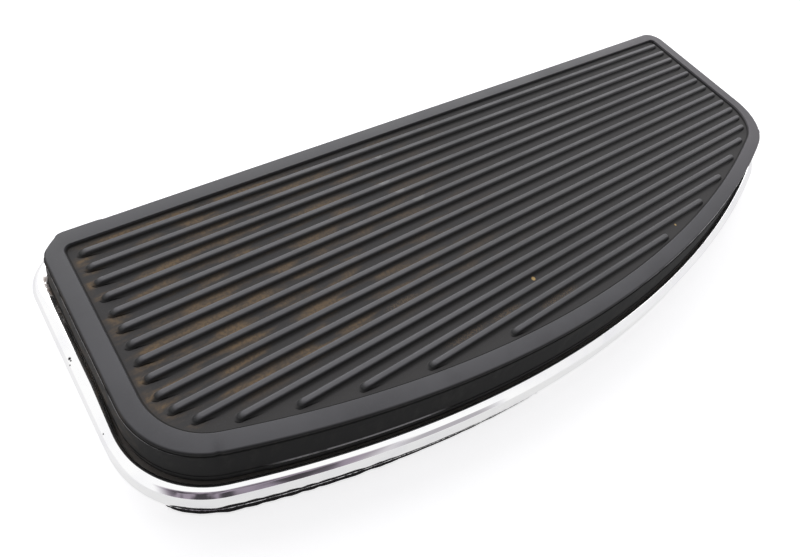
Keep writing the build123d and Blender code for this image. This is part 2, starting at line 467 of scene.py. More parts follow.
class ShaderBench(Bench):
    """Lays out shader nodes; every pattern reads one set of coordinates, in metres."""

    def __init__(self, tree: bpy.types.NodeTree, coords: str) -> None:
        """Start on a shader tree.

        Args:
            tree: the tree.
            coords: name of the coordinates that its patterns read.
        """
        super().__init__(tree)
        self.coords = self.add("ShaderNodeTexCoord")[coords]
        self._axes = self.add("ShaderNodeSeparateXYZ", {0: self.coords})

    def axis(self, name: str) -> Socket:
        """One coordinate, X, Y or Z, in metres."""
        return self._axes[name]

    def seen(self) -> Socket:
        """1 where the camera, a mirror or glass looks, and 0 for light that falls on things."""
        rays = self.add("ShaderNodeLightPath")
        return self.either(rays["Is Camera Ray"], rays["Is Glossy Ray"], rays["Is Transmission Ray"])

    def attribute(self, name: str) -> Socket:
        """A number kept on the mesh's own points."""
        return self.add("ShaderNodeAttribute", attribute_name=name)["Fac"]

    def noise(self, pattern: Pattern) -> Socket:
        """Soft noise between 0 and 1.

        Args:
            pattern: sizes of the noise.

        Returns:
            The noise value.
        """
        moved = {"Vector": self.coords, "Scale": pattern.pack, "Location": (pattern.shift,) * 3}
        place = self.add("ShaderNodeMapping", moved)["Vector"]
        sizes = {"Vector": place, "Scale": 1.0 / (pattern.size * MM), "Detail": pattern.detail}
        return self.add("ShaderNodeTexNoise", sizes)["Fac"]

    def blotch(self, pattern: Pattern) -> Socket:
        """A noise cut by its own step: 0 at the step's start and 1 at its end."""
        return self.fade(self.noise(pattern), *pattern.step)

    def math(self, operation: str, first: Feed, second: Feed) -> Socket:
        """One arithmetic step, its result held between 0 and 1."""
        return self.add("ShaderNodeMath", {0: first, 1: second}, operation=operation, use_clamp=True)[0]

    def both(self, first: Feed, *others: Feed) -> Socket:
        """Product of masks and shares.

        Args:
            first: first mask.
            others: the other masks.

        Returns:
            A mask that is 1 only where all of them are.
        """
        for other in others:
            first = self.math("MULTIPLY", first, other)
        return first

    def either(self, first: Feed, *others: Feed) -> Socket:
        """Largest of masks.

        Args:
            first: first mask.
            others: the other masks.

        Returns:
            A mask that is 1 where any of them is.
        """
        for other in others:
            first = self.math("MAXIMUM", first, other)
        return first

    def fade(self, value: Feed, start: float, end: float) -> Socket:
        """Smooth step from 0 at start to 1 at end.

        Args:
            value: what is measured.
            start: value that gives 0.
            end: value that gives 1.

        Returns:
            The step, between 0 and 1.
        """
        rising = start < end
        feeds = {
            "Value": value,
            "From Min": min(start, end),
            "From Max": max(start, end),
            "To Min": float(not rising),
            "To Max": float(rising),
        }
        return self.add("ShaderNodeMapRange", feeds, interpolation_type="SMOOTHSTEP", clamp=True)["Result"]

    def ramp(self, value: Feed, span: Span, base: float = 0.0) -> Socket:
        """Smooth step over a span in mm, counted from a base: 0 at its start and 1 at its end."""
        return self.fade(value, (base + span[0]) * MM, (base + span[1]) * MM)

    def spot(self, mark: Mark) -> Socket:
        """One mark on a surface.

        Args:
            mark: its place and size.

        Returns:
            A mask that is 1 in the mark's core and 0 outside it.
        """
        away = self.coords
        for operation, other in (
            ("SUBTRACT", Vector(mark.place) * MM),
            ("MULTIPLY", mark.squeeze),
        ):
            away = self.add("ShaderNodeVectorMath", {0: away, 1: other}, operation=operation)[0]
        length = self.add("ShaderNodeVectorMath", {0: away}, operation="LENGTH")["Value"]
        return self.ramp(length, (mark.size, mark.core * mark.size))

    def spots(self, marks: Sequence[Mark]) -> Socket:
        """All of a set of marks, each 1 in its core and 0 outside."""
        return self.either(*(self.spot(mark) for mark in marks))

    def facing(self, way: Triple) -> Socket:
        """How far the coordinates point one way: 1 straight there, 0 across."""
        ways = {0: self.coords, 1: Vector(way).normalized()}
        return self.add("ShaderNodeVectorMath", ways, operation="DOT_PRODUCT")["Value"]

    def _blend(self, kind: Blend, share: Feed, first: Feed, second: Feed) -> Socket:
        """Blend of two colours or numbers.

        Args:
            kind: what is blended.
            share: share of the second.
            first: first colour or number.
            second: second colour or number.

        Returns:
            The blend.
        """
        data_type, one, other, result = kind.value
        feeds = {"Factor": share, one: first, other: second}
        return self.add("ShaderNodeMix", feeds, data_type=data_type)[result]

    def mix(self, share: Feed, first: Feed, second: Feed) -> Socket:
        """Blend of two colours, with the share of the second."""
        return self._blend(Blend.COLOUR, share, first, second)

    def level(self, share: Feed, first: Feed, second: Feed) -> Socket:
        """Blend of two numbers, with the share of the second."""
        return self._blend(Blend.NUMBER, share, first, second)


class Paint(ShaderBench):
    """One material with a principled shader, whose patterns read Object coordinates."""

    def __init__(self, name: str) -> None:
        """Start a material.

        Args:
            name: name of the material.
        """
        self.material = bpy.data.materials.new(name)
        self.material.use_nodes = True
        super().__init__(self.material.node_tree, "Object")
        self.shader = self.tree.nodes["Principled BSDF"]

    def coat(self, **values: Feed) -> None:
        """Feed the shader's own sockets by name, with spaces written as underscores."""
        for name, value in values.items():
            self.feed(self.shader.inputs[name.replace("_", " ")], value)

    def bump(self, height: Socket, depth_mm: float, strength: float) -> None:
        """Give the shader relief, from a height between 0 and 1, its depth and how much of it shows."""
        relief = {"Height": height, "Distance": depth_mm * MM, "Strength": strength}
        self.coat(Normal=self.add("ShaderNodeBump", relief)["Normal"])

    def lighten(self, share: float, mirrored: float, evenness: float) -> None:
        """Add plain white to what the camera and mirrors see of the surface.

        Args:
            share: how much white the camera sees added.
            mirrored: how much white mirrors see added.
            evenness: share of the light and shade on the surface that mirrors miss.
        """
        glossy = self.add("ShaderNodeLightPath")["Is Glossy Ray"]
        amount = self.both(self.seen(), self.level(glossy, share, mirrored))
        white = self.add("ShaderNodeEmission", {"Strength": amount})["Emission"]
        missed = {"Fac": self.both(glossy, evenness), 1: self.shader.outputs["BSDF"]}
        shaded = self.add("ShaderNodeMixShader", missed)["Shader"]
        total = self.add("ShaderNodeAddShader", {0: shaded, 1: white})["Shader"]
        self.feed(self.tree.nodes["Material Output"].inputs["Surface"], total)


@dataclass(frozen=True)
class TreadRubber:
    """Matt black moulded rubber with worn crests, painted sheen, highlights and shade on top, dirt in its
    grooves and a blacker wall. Spans in mm.
    """

    name: str = "tread_rubber"
    grey: Colour = (0.050, 0.049, 0.055)
    pale: Colour = (0.070, 0.069, 0.076)
    # pale colour of the top's right end: a painted sheen
    dusty: Colour = (0.112, 0.104, 0.114)
    # crest colours: part rubbed wear, part painted highlight, the dimmer one from the middle of the board
    # rightward
    crest: Colour = (0.100, 0.098, 0.106)
    dull_crest: Colour = (0.066, 0.065, 0.070)
    # rib flank colours: painted shade, replaced by painted light towards the right end
    flank: Colour = (0.016, 0.016, 0.017)
    lit_right_flank: Colour = (0.125, 0.122, 0.127)
    groove: Colour = (0.052, 0.050, 0.050)
    wall: Colour = (0.010, 0.010, 0.010)
    wall_dust: Colour = (0.034, 0.033, 0.031)
    dirt: Colour = (0.168, 0.117, 0.070)
    bleached: Colour = (0.30, 0.30, 0.30)
    # colour of the pale edge lines: part rubbed edge, part painted highlight
    edge_wear_and_highlight_colour: Colour = (0.85, 0.83, 0.85)
    ochre: Colour = (0.52, 0.36, 0.15)
    rightward: Span = (-60.0, 110.0)
    dulling: Span = (-60.0, 0.0)
    # where the painted sheen at the right end runs, and its share
    sheen_end: Span = (70.0, 145.0)
    sheen_share: float = 0.65
    among_ribs: Span = (-8.0, -15.0)
    groove_floor: float = 24.8
    sunken: Span = (0.8, 0.2)
    raised: Span = (0.05, 0.4)
    crest_wear_and_highlight: Span = (0.65, 1.12)
    bottom: Span = (0.5, 0.05)
    cloud: Pattern = Pattern(18.0, 4.0, (0.35, 0.68))
    gloss_step: Span = (0.3, 0.7)
    gloss: Span = (0.45, 0.60)
    dull: float = 0.95
    specular: float = 0.5
    grain: Pattern = Pattern(0.45, 2.0, (0.5, 0.75), shift=3.0)
    grain_share: float = 0.3
    grain_depth: float = 0.03
    grain_strength: float = 0.35
    wear: Pattern = Pattern(6.0, 4.0, pack=(0.3, 1.0, 1.0), shift=9.0)
    wear_least: float = 0.75
    streak: Pattern = Pattern(3.2, 8.0, (0.42, 0.66), (0.22, 0.9, 1.0), 1.0)
    crumb: Pattern = Pattern(0.9, 3.0, (0.35, 0.6), shift=2.0)
    crumb_least: float = 0.55
    dirt_along: Span = (20.0, -118.0)
    dirt_across: Span = (-22.0, -17.0)
    dirt_share: float = 0.95
    border_dirt: float = 0.25
    grit_step: Span = (0.42, 0.6)
    grit_share: float = 0.6
    # share of the painted shadow in front of each rib, drawn in the wall's colour
    painted_shade_share: float = 0.8
    # where the painted shade along the border's inner foot lies, and its share
    crease_rise: Span = (-6.3, -6.0)
    crease_fall: Span = (-5.5, -5.7)
    crease_depth: Span = (0.8, 0.4)
    crease_shade_share: float = 0.75
    wall_edge: Span = (-0.75, 0.05)
    right_wall_edge: Span = (-0.12, 0.05)
    wall_cloud: Pattern = Pattern(5.0, 6.0, (0.48, 0.75), (1.0, 1.0, 0.5), 6.0)
    wall_dust_share: float = 0.6
    left_wall: Span = (-148.0, -152.0)
    left_wall_share: float = 0.25
    line_break: Pattern = Pattern(7.0, 4.0, (0.34, 0.50), shift=11.0)
    line_share: float = 0.9
    scuff_share: float = 0.3
    # pale lines on the lip, the top's outer edge and the foot ledge: part rubbed edge, part painted highlight
    edge_wear_and_highlight_lines: tuple[EdgeWearAndHighlight, ...] = (
        EdgeWearAndHighlight((("growth", (0.18, 0.34)), ("Z", (24.25, 24.4)), ("X", (-140.0, -148.0))), 0.4),
        EdgeWearAndHighlight((
            ("growth", (-0.30, -0.18)),
            ("Z", (25.1, 25.2)),
            ("X", (-5.0, 75.0)),
            ("X", (122.0, 112.0)),
            ("Y", (-25.0, -32.0)),
        )),
        EdgeWearAndHighlight((
            ("growth", (2.38, 2.5)),
            ("growth", (2.8, 2.7)),
            ("Z", (14.0, 14.1)),
            ("X", (-126.0, -116.0)),
            ("X", (-68.0, -80.0)),
            ("Y", (-25.0, -32.0)),
        )),
    )
    scuffs: tuple[Mark, ...] = (
        Mark((-43.3, 28.0, 26.0), 1.5, (0.45, 1.0, 1.0)),
        Mark((-40.2, 22.2, 26.0), 1.3, (0.5, 1.0, 1.0)),
        Mark((-35.9, 16.3, 26.0), 1.5, (0.45, 1.0, 1.0)),
        Mark((-38.0, 39.3, 26.0), 1.2, (0.6, 1.0, 1.0)),
        Mark((-109.9, 45.3, 25.4), 0.7),
    )
    grit: tuple[Mark, ...] = (
        Mark((-17.0, -40.4, 24.8), 2.6, (0.22, 1.0, 1.0)),
        Mark((-38.0, -36.2, 24.8), 2.2, (0.25, 1.0, 1.0)),
        Mark((-55.0, -35.0, 24.8), 2.6, (0.22, 1.0, 1.0)),
        Mark((-66.0, -16.0, 24.8), 2.2, (0.25, 1.0, 1.0)),
    )
    specks: tuple[Mark, ...] = (
        Mark((-20.1, -30.6, 24.8), 1.0),
        Mark((52.0, -40.8, 24.8), 0.6),
    )

    def make(self) -> bpy.types.Material:
        """Make the material.

        Returns:
            The material of the pad.
        """
        paint = Paint(self.name)
        growth = paint.attribute("growth")
        among_ribs = paint.ramp(growth, self.among_ribs)
        sunken = paint.ramp(paint.axis("Z"), self.sunken, self.groove_floor)
        rightward = paint.ramp(paint.axis("X"), self.rightward)
        # The wall's dark colour starts on the top edge's rounding: at the left it covers most of the rounding
        # as painted shade, at the right it starts near the edge.
        walls = (paint.ramp(growth, span) for span in (self.wall_edge, self.right_wall_edge))
        wall = paint.level(rightward, *walls)
        cloud, grain = paint.noise(self.cloud), paint.noise(self.grain)
        crumbs = paint.level(paint.blotch(self.crumb), self.crumb_least, 1.0)
        streak = paint.both(paint.blotch(self.streak), crumbs)
        skin = paint.mix(paint.fade(cloud, *self.cloud.step), self.grey, self.pale)
        skin = self._ribbed(paint, skin, rightward, among_ribs, sunken)
        skin = paint.mix(paint.both(paint.fade(grain, *self.grain.step), self.grain_share), skin, self.pale)
        for share, colour in (
            (self._dirty(paint, among_ribs, streak, grain), self.dirt),
            # painted shadow on each rib's lower front and on the floor just ahead of it
            (paint.both(paint.fade(paint.attribute("lee"), 0.0, 1.0), self.painted_shade_share), self.wall),
            # painted shade along the foot of the border's inner side
            (self._painted_crease_shade(paint, growth), self.wall),
            (wall, self._side(paint, streak)),
            # pale edge lines, part rubbed edge and part painted highlight
            (self._edge_wear_and_highlights(paint, growth), self.edge_wear_and_highlight_colour),
            (paint.both(paint.spots(self.scuffs), self.scuff_share), self.bleached),
            (paint.spots(self.specks), self.ochre),
        ):
            skin = paint.mix(share, skin, colour)
        roughness = paint.level(paint.fade(cloud, *self.gloss_step), *self.gloss)
        roughness = paint.level(paint.either(wall, sunken), roughness, self.dull)
        paint.coat(Base_Color=skin, Roughness=roughness, Specular_IOR_Level=self.specular)
        paint.bump(grain, self.grain_depth, self.grain_strength)
        return paint.material

    def _ribbed(self, paint: Paint, skin: Socket, rightward: Socket, among_ribs: Socket,
                sunken: Socket) -> Socket:
        """Colour of the top: painted sheen at the right end, dark in grooves, painted shade on the rib flanks
        that turns to painted light at the right, and crests part worn, part painted highlight.

        Args:
            paint: the material's bench.
            skin: colour of the plain rubber.
            rightward: 0 at the left of the board and 1 at the right.
            among_ribs: 1 inside the border.
            sunken: 1 in the grooves.

        Returns:
            The colour.
        """
        height, along = paint.axis("Z"), paint.axis("X")
        # painted sheen: the top turns paler towards the right end
        sheen_end = paint.ramp(along, self.sheen_end)
        skin = paint.mix(paint.both(sheen_end, self.sheen_share), skin, self.dusty)
        skin = paint.mix(sunken, skin, self.groove)
        # painted shade on the rib flanks, turning to painted light towards the right
        raised = paint.ramp(height, self.raised, self.groove_floor)
        flank = paint.mix(rightward, self.flank, self.lit_right_flank)
        skin = paint.mix(paint.both(among_ribs, raised), skin, flank)
        # crests: part wear, part painted highlight; bright at the left, dimmer from the middle, bright again
        # at the right end
        crest_wear_and_highlight = paint.ramp(height, self.crest_wear_and_highlight, self.groove_floor)
        wear = paint.level(paint.noise(self.wear), self.wear_least, 1.0)
        crest = paint.mix(paint.ramp(along, self.dulling), self.crest, self.dull_crest)
        crest = paint.mix(sheen_end, crest, self.crest)
        return paint.mix(paint.both(among_ribs, crest_wear_and_highlight, wear), skin, crest)

    def _dirty(self, paint: Paint, among_ribs: Socket, streak: Socket, grain: Socket) -> Socket:
        """Road dirt on the floor of the grooves, most at the left, and a few marks of grit.

        Args:
            paint: the material's bench.
            among_ribs: 1 inside the border.
            streak: the dirt's streaks.
            grain: the rubber's grain.

        Returns:
            The share of dirt.
        """
        bottom = paint.ramp(paint.axis("Z"), self.bottom, self.groove_floor)
        leftward = paint.ramp(paint.axis("X"), self.dirt_along)
        behind = paint.ramp(paint.axis("Y"), self.dirt_across)
        inside = paint.level(among_ribs, self.border_dirt, 1.0)
        caught = paint.both(bottom, inside, streak, leftward, behind)
        grit = paint.both(paint.spots(self.grit), paint.fade(grain, *self.grit_step), bottom, self.grit_share)
        return paint.both(paint.either(caught, grit), self.dirt_share)

    def _painted_crease_shade(self, paint: Paint, growth: Socket) -> Socket:
        """Painted shade: a dark line along the foot of the border's inner side.

        Args:
            paint: the material's bench.
            growth: distance outward from the tread's outline, in metres.

        Returns:
            The share of the crease's colour.
        """
        across = (paint.ramp(growth, span) for span in (self.crease_rise, self.crease_fall))
        low = paint.ramp(paint.axis("Z"), self.crease_depth, self.groove_floor)
        return paint.both(*across, low, self.crease_shade_share)

    def _side(self, paint: Paint, streak: Socket) -> Socket:
        """Colour of the wall, dusty in places and dirty at the left end.

        Args:
            paint: the material's bench.
            streak: the dirt's streaks.

        Returns:
            The colour.
        """
        dusty = paint.both(paint.blotch(self.wall_cloud), self.wall_dust_share)
        side = paint.mix(dusty, self.wall, self.wall_dust)
        at_left = paint.both(paint.ramp(paint.axis("X"), self.left_wall), streak, self.left_wall_share)
        return paint.mix(at_left, side, self.dirt)

    def _edge_wear_and_highlights(self, paint: Paint, growth: Socket) -> Socket:
        """Pale broken hairlines on the rubber's edges, part rubbed edge and part painted highlight.

        Args:
            paint: the material's bench.
            growth: distance outward from the tread's outline, in metres.

        Returns:
            The share of the lines' colour.
        """
        measures = {"growth": growth, **{name: paint.axis(name) for name in "XYZ"}}
        lines = []
        for line in self.edge_wear_and_highlight_lines:
            ramps = (paint.ramp(measures[name], span) for name, span in line.ramps)
            lines.append(paint.both(*ramps, line.strength))
        return paint.both(paint.either(*lines), paint.blotch(self.line_break), self.line_share)


@dataclass(frozen=True)
class ChromePlate:
    """Bright chrome plate with small pits, a rust stain at one corner and a ragged black lower edge."""

    name: str = "chrome_plate"
    bright: Colour = (0.985, 0.985, 0.985)
    film: Colour = (0.935, 0.935, 0.955)
    rust: Colour = (0.20, 0.11, 0.055)
    pit_and_edge_black: Colour = (0.005, 0.004, 0.005)
    silt: Colour = (0.22, 0.20, 0.185)
    cloud: Pattern = Pattern(9.0, 4.0, (0.4, 0.8))
    gloss_step: Span = (0.35, 0.75)
    gloss: Span = (0.05, 0.09)
    dull: float = 0.95
    rusting: Pattern = Pattern(1.6, 5.0, (0.35, 0.6), shift=7.0)
    rust_share: float = 0.85
    flaking: Pattern = Pattern(1.1, 3.0, (0.35, 0.65), shift=5.0)
    hem_ragged: float = 0.06
    hem_edge: float = 0.03
    bead_inner: float = 3.8
    silted: Span = (0.12, 0.02)
    silt_from: float = 9.0
    stains: tuple[Mark, ...] = (
        Mark((-152.6, 46.5, 11.5), 4.2, (2.6, 0.6, 1.2)),
        Mark((-152.9, 36.0, 11.0), 3.0, (2.6, 0.5, 1.2)),
    )
    pits: tuple[Mark, ...] = (
        Mark((-155.8, 20.9, 12.7), 0.6),
        Mark((-155.7, 20.1, 12.7), 0.35),
        Mark((-156.5, 19.1, 12.4), 0.4),
        Mark((-156.1, -4.4, 12.5), 0.3),
    )

    def make(self) -> bpy.types.Material:
        """Make the material.

        Returns:
            The material of the pan.
        """
        paint = Paint(self.name)
        cloud, pits = paint.noise(self.cloud), paint.spots(self.pits)
        stain = paint.both(paint.spots(self.stains), paint.blotch(self.rusting))
        flaked = paint.both(paint.blotch(self.flaking), self.hem_ragged)
        hem = paint.fade(paint.math("SUBTRACT", paint.attribute("hem"), flaked), 0.0, self.hem_edge)
        inside = paint.ramp(paint.attribute("growth"), self.silted, self.bead_inner)
        silt = paint.both(inside, paint.math("GREATER_THAN", paint.axis("Z"), self.silt_from * MM))
        colour = paint.mix(paint.fade(cloud, *self.cloud.step), self.bright, self.film)
        for share, tone in (
            (paint.both(stain, self.rust_share), self.rust),
            (paint.either(hem, pits), self.pit_and_edge_black),
            (silt, self.silt),
        ):
            colour = paint.mix(share, colour, tone)
        dull = paint.either(stain, pits, hem, silt)
        smooth = paint.level(paint.fade(cloud, *self.gloss_step), *self.gloss)
        roughness = paint.level(dull, smooth, self.dull)
        paint.coat(Base_Color=colour, Roughness=roughness, Metallic=paint.math("SUBTRACT", 1.0, dull))
        return paint.material


@dataclass(frozen=True)
class WorkedSteel:
    """Plain, zinc plated or painted steel with a fine grain."""

    name: str
    light: Colour
    dark: Colour
    gloss: Span
    metallic: float = 1.0
    mottle: Pattern = Pattern(2.5, 4.0, (0.35, 0.7))
    streak: Pattern = Pattern(1.2, 3.0, (0.3, 0.7), (0.25, 2.0, 2.0), 2.0)
    depth: float = 0.02
    strength: float = 0.3

    def make(self) -> bpy.types.Material:
        """Make the material.

        Returns:
            The material of the piece.
        """
        paint = Paint(self.name)
        streak = paint.noise(self.streak)
        colour = paint.mix(paint.blotch(self.mottle), self.light, self.dark)
        roughness = paint.level(paint.fade(streak, *self.streak.step), *self.gloss)
        paint.coat(Base_Color=colour, Roughness=roughness, Metallic=self.metallic)
        paint.bump(streak, self.depth, self.strength)
        return paint.material


@dataclass(frozen=True)
class IsolatorRubber:
    """Smooth black rubber of the isolators."""

    name: str = "isolator_rubber"
    deep: Colour = (0.018, 0.018, 0.019)
    dusty: Colour = (0.045, 0.043, 0.040)
    gloss: Span = (0.45, 0.7)
    dust: Pattern = Pattern(3.0, 5.0, (0.45, 0.75))
    grain: Pattern = Pattern(0.3, 2.0, shift=4.0)
    depth: float = 0.02
    strength: float = 0.3

    def make(self) -> bpy.types.Material:
        """Make the material.

        Returns:
            The material of the isolators.
        """
        paint = Paint(self.name)
        dust = paint.noise(self.dust)
        colour = paint.mix(paint.fade(dust, *self.dust.step), self.deep, self.dusty)
        paint.coat(Base_Color=colour, Roughness=paint.level(dust, *self.gloss))
        paint.bump(paint.noise(self.grain), self.depth, self.strength)
        return paint.material


@dataclass
class RibPattern:
    """The ribs of the tread: one shape, laid in rows and drawn out to each row's length. Sizes in mm."""

    outline: TreadOutline
    border: float = 5.5
    shift: float = 0.0
    end_gap: float = 2.2
    bow_gap: float = 0.5
    bow_gap_run: float = 0.5
    left_lean: float = 1.8
    right_lean: float = 0.4
    floor: float = 24.8
    rise: float = 1.2
    base_width: float = 2.5
    crest_width: float = 1.45
    crest_rounding: float = 0.5
    root_flare: float = 0.35
    # reach, sideways taper and falloff of the apron that carries the painted shadow in front of each rib
    painted_shade_reach: float = 1.2
    painted_shade_taper: float = 9.0
    painted_shade_power: int = 3
    seam: float = 0.1
    rounding_steps: int = 6
    from_back: float = 8.78
    pitch: float = 5.71
    even_gaps: int = 9
    front_pitch: float = 5.44
    front_step: float = 0.11
    shortest: float = 40.0
    end_points: int = 12
    inward: float = -20.0

    def _length(self, y: float) -> float:
        """Length of a rib at its base.

        Args:
            y: place of the rib along the depth, in mm.

        Returns:
            The length, in mm.
        """
        bowed = (self.outline.corner_y - y) / (self.bow_gap_run * self.outline.front_corner)
        inset = self.border + self.end_gap + clamp(bowed) * self.bow_gap
        return 2 * self.outline.half_width(y, -inset)

    def rows(self) -> list[tuple[float, float]]:
        """Rows of the ribs, from the back to the front.

        Returns:
            Place of each rib along the depth and its length at the base, in mm.
        """
        rows: list[tuple[float, float]] = []
        y = self.outline.depth / 2 - self.from_back
        while self._length(y) > self.shortest:
            rows.append((y, self._length(y)))
            front_gaps = len(rows) - 1 - self.even_gaps
            y -= self.pitch if front_gaps < 0 else self.front_pitch - self.front_step * front_gaps
        return rows

    def section(self) -> list[tuple[float, float]]:
        """Half of a rib's section.

        Returns:
            Distance from the rib's centre line and height above the floor of each point, in mm.
        """
        corners = [
            Corner(self.base_width / 2 + self.root_flare, 0.0),
            Corner(self.base_width / 2, 0.0, self.root_flare),
            Corner(self.crest_width / 2, self.rise, self.crest_rounding),
            Corner(0.0, self.rise),
        ]
        return [(c.growth, c.height) for c in rounded_section(corners, self.rounding_steps)]

    def _template(self) -> bpy.types.Object:
        """One rib with no straight run, whose two halves know their side, with a painted shadow on its lower
        front and on an apron of floor in front of it.

        Returns:
            The rib, open below.
        """
        draft = MeshDraft("rib_template")
        side_layer = draft.bm.verts.layers.float.new("side")
        rings = []
        section = self.section()
        for step, (away, height) in enumerate([section[0], *section]):
            ring = []
            for side, first in ((1.0, -90.0), (-1.0, 90.0)):
                for k in range(self.end_points + 1):
                    angle = math.radians(first + 180.0 * k / self.end_points)
                    spot = Vector((away * math.cos(angle), away * math.sin(angle), height))
                    # the front half of the lower rings carries the painted shadow; the first ring is the
                    # apron, pushed forward on the floor
                    frontness = max(-math.sin(angle), 0.0)
                    lee = frontness**self.painted_shade_power
                    lean = self.right_lean if side > 0 else self.left_lean
                    spot.x -= side * lean * height / self.rise
                    if step == 0:
                        spot.x += side * (self.seam * (1.0 - frontness) - self.painted_shade_taper * lee)
                        spot.y += self.seam * max(math.sin(angle), 0.0) - self.painted_shade_reach * lee
                    vert = draft.bm.verts.new(spot * MM)
                    vert[side_layer] = side
                    vert[draft.growth] = self.inward * MM
                    vert[draft.lee] = frontness if step > 0 and height < self.rise / 2 else 0.0
                    ring.append(vert)
            rings.append(ring)
        for low, high in zip(rings, rings[1:]):
            draft.bridge(low, high)
        return draft.plain()

    def _tree(self) -> tuple[bpy.types.NodeTree, dict[str, str]]:
        """Nodes that place the rib on each row and draw it out along X.

        Returns:
            The tree and the identifiers of its inputs by name.
        """
        tree = bpy.data.node_groups.new("rib_rows", "GeometryNodeTree")
        tree.interface.new_socket("Geometry", in_out="OUTPUT", socket_type="NodeSocketGeometry")
        inputs = {}
        for name, kind in (
            ("Rows", "NodeSocketGeometry"),
            ("Rib", "NodeSocketObject"),
            ("Stretch", "NodeSocketFloat"),
            ("Rubber", "NodeSocketMaterial"),
        ):
            inputs[name] = tree.interface.new_socket(name, in_out="INPUT", socket_type=kind).identifier
        bench = Bench(tree)
        source = bench.add("NodeGroupInput")
        rib = bench.add("GeometryNodeObjectInfo", {"Object": source["Rib"]})["Geometry"]
        rows = {"Points": source["Rows"], "Instance": rib}
        placed = bench.add("GeometryNodeInstanceOnPoints", rows)["Instances"]
        real = bench.add("GeometryNodeRealizeInstances", {"Geometry": placed})["Geometry"]
        drawn = source["Stretch"]
        for name in ("side", "half_run"):
            factor = bench.add("GeometryNodeInputNamedAttribute", {"Name": name})["Attribute"]
            drawn = bench.add("ShaderNodeMath", {0: drawn, 1: factor}, operation="MULTIPLY")[0]
        offset = bench.add("ShaderNodeCombineXYZ", {"X": drawn})["Vector"]
        moved = bench.add("GeometryNodeSetPosition", {"Geometry": real, "Offset": offset})["Geometry"]
        finish = {"Geometry": moved, "Material": source["Rubber"]}
        bench.add("NodeGroupOutput", {"Geometry": bench.add("GeometryNodeSetMaterial", finish)["Geometry"]})
        return tree, inputs

    def mesh(self, rubber: bpy.types.Material) -> bpy.types.Mesh:
        """Run the nodes and keep the result as a plain mesh.

        Args:
            rubber: material of the ribs.

        Returns:
            The mesh of all ribs, open below.
        """
        rows = self.rows()
        seeds = bpy.data.meshes.new("rib_rows")
        seeds.from_pydata([(self.shift * MM, y * MM, self.floor * MM) for y, _ in rows], [], [])
        runs = seeds.attributes.new("half_run", "FLOAT", "POINT")
        runs.data.foreach_set("value", [(length - self.base_width) / 2 * MM for _, length in rows])
        carrier = put("rib_rows", seeds)
        template = self._template()
        tree, inputs = self._tree()
        modifier = carrier.modifiers.new("rib_rows", "NODES")
        modifier.node_group = tree
        modifier[inputs["Rib"]] = template
        modifier[inputs["Stretch"]] = 1.0
        modifier[inputs["Rubber"]] = rubber
        depsgraph = bpy.context.evaluated_depsgraph_get()
        ribs = bpy.data.meshes.new_from_object(carrier.evaluated_get(depsgraph))
        carrier.modifiers.remove(modifier)
        for spent in (carrier, template):
            bpy.data.objects.remove(spent)
        return ribs


